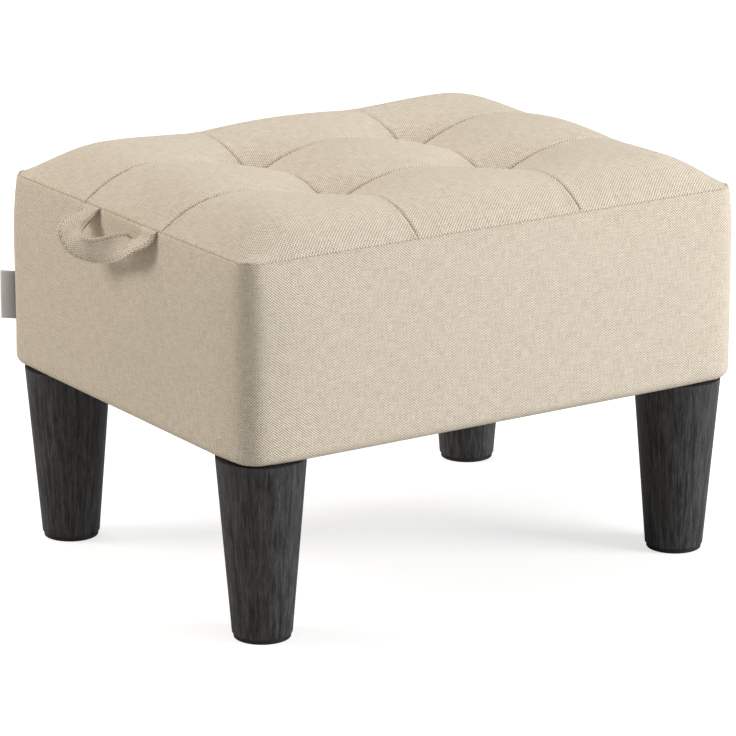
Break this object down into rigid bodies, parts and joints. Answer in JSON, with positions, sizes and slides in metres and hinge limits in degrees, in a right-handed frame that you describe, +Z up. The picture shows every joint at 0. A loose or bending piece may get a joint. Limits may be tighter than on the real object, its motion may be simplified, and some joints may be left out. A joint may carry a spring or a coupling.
{
  "type": "upholstered footstool",
  "caption": "Low rectangular footstool with a tufted cushion top, cloth-covered box, side carrying strap and tapered black screw-in legs.",
  "frame": {"origin": "centre of the bounding box on the floor plane, strap included", "axes": "+X along the long side towards the end without the strap, +Y towards the back, +Z up"},
  "size_m": [0.4254, 0.3188, 0.284],
  "materials": {
    "plywood": "raw plywood",
    "softwood": "raw softwood",
    "leg_wood": "charcoal black stain, satin, open grain",
    "zinc_steel": "zinc plated",
    "glide_plastic": "black moulded",
    "foam": "open-cell upholstery foam",
    "cover_cloth": "beige linen-look plain weave",
    "label_satin": "grey satin, bare",
    "nonwoven": "black nonwoven",
    "twine": "waxed upholstery twine",
    "button_plastic": "moulded, natural"
  },
  "bodies": {
    "stool": {"bottom_board": "plywood", "deck_board": "plywood", "front_board": "plywood", "back_board": "plywood", "left_board": "plywood", "right_board": "plywood", "corner_post_front_left": "softwood", "corner_post_front_right": "softwood", "corner_post_back_left": "softwood", "corner_post_back_right": "softwood", "wall_screws": "zinc_steel", "deck_screws": "zinc_steel", "base_screws": "zinc_steel", "tee_nuts": "zinc_steel", "seat_foam": "foam", "side_padding": "foam", "tuft_twines": "twine", "anchor_buttons": "button_plastic", "cover_side_band": "cover_cloth", "cover_back_panel": "cover_cloth", "cover_top": "cover_cloth", "side_label": "label_satin", "dust_cover": "nonwoven", "cover_staples": "zinc_steel", "dust_cover_staples": "zinc_steel"},
    "strap": {"carry_strap": "cover_cloth"},
    "bolt_front_left": {"hanger_bolt_front_left": "zinc_steel"},
    "leg_front_left": {"leg_front_left": "leg_wood", "foot_glide_front_left": "glide_plastic", "glide_nail_front_left": "zinc_steel"},
    "bolt_front_right": {"hanger_bolt_front_right": "zinc_steel"},
    "leg_front_right": {"leg_front_right": "leg_wood", "foot_glide_front_right": "glide_plastic", "glide_nail_front_right": "zinc_steel"},
    "bolt_back_left": {"hanger_bolt_back_left": "zinc_steel"},
    "leg_back_left": {"leg_back_left": "leg_wood", "foot_glide_back_left": "glide_plastic", "glide_nail_back_left": "zinc_steel"},
    "bolt_back_right": {"hanger_bolt_back_right": "zinc_steel"},
    "leg_back_right": {"leg_back_right": "leg_wood", "foot_glide_back_right": "glide_plastic", "glide_nail_back_right": "zinc_steel"}
  },
  "joints": [
    {"name": "strap_lift", "type": "hinge", "parent": "stool", "child": "strap", "pos_m": [-0.18543, 0, 0.259], "axis": [0, 1, 0], "range_deg": [0, 110]},
    {"name": "leg_drop_front_left", "type": "slide", "parent": "stool", "child": "bolt_front_left", "axis": [0, 0, -1], "range_m": [0, 0.02]},
    {"name": "leg_unscrew_front_left", "type": "hinge", "parent": "bolt_front_left", "child": "leg_front_left", "pos_m": [-0.15632, -0.127, 0], "axis": [0, 0, -1], "range_deg": [0, 5760]},
    {"name": "leg_drop_front_right", "type": "slide", "parent": "stool", "child": "bolt_front_right", "axis": [0, 0, -1], "range_m": [0, 0.02]},
    {"name": "leg_unscrew_front_right", "type": "hinge", "parent": "bolt_front_right", "child": "leg_front_right", "pos_m": [0.18168, -0.127, 0], "axis": [0, 0, -1], "range_deg": [0, 5760]},
    {"name": "leg_drop_back_left", "type": "slide", "parent": "stool", "child": "bolt_back_left", "axis": [0, 0, -1], "range_m": [0, 0.02]},
    {"name": "leg_unscrew_back_left", "type": "hinge", "parent": "bolt_back_left", "child": "leg_back_left", "pos_m": [-0.15632, 0.127, 0], "axis": [0, 0, -1], "range_deg": [0, 5760]},
    {"name": "leg_drop_back_right", "type": "slide", "parent": "stool", "child": "bolt_back_right", "axis": [0, 0, -1], "range_m": [0, 0.02]},
    {"name": "leg_unscrew_back_right", "type": "hinge", "parent": "bolt_back_right", "child": "leg_back_right", "pos_m": [0.18168, 0.127, 0], "axis": [0, 0, -1], "range_deg": [0, 5760]}
  ],
  "couplings": [
    {"joint": "leg_drop_front_left", "follows": "leg_unscrew_front_left", "m_per_rad": 0.00019894},
    {"joint": "leg_drop_front_right", "follows": "leg_unscrew_front_right", "m_per_rad": 0.00019894},
    {"joint": "leg_drop_back_left", "follows": "leg_unscrew_back_left", "m_per_rad": 0.00019894},
    {"joint": "leg_drop_back_right", "follows": "leg_unscrew_back_right", "m_per_rad": 0.00019894}
  ]
}
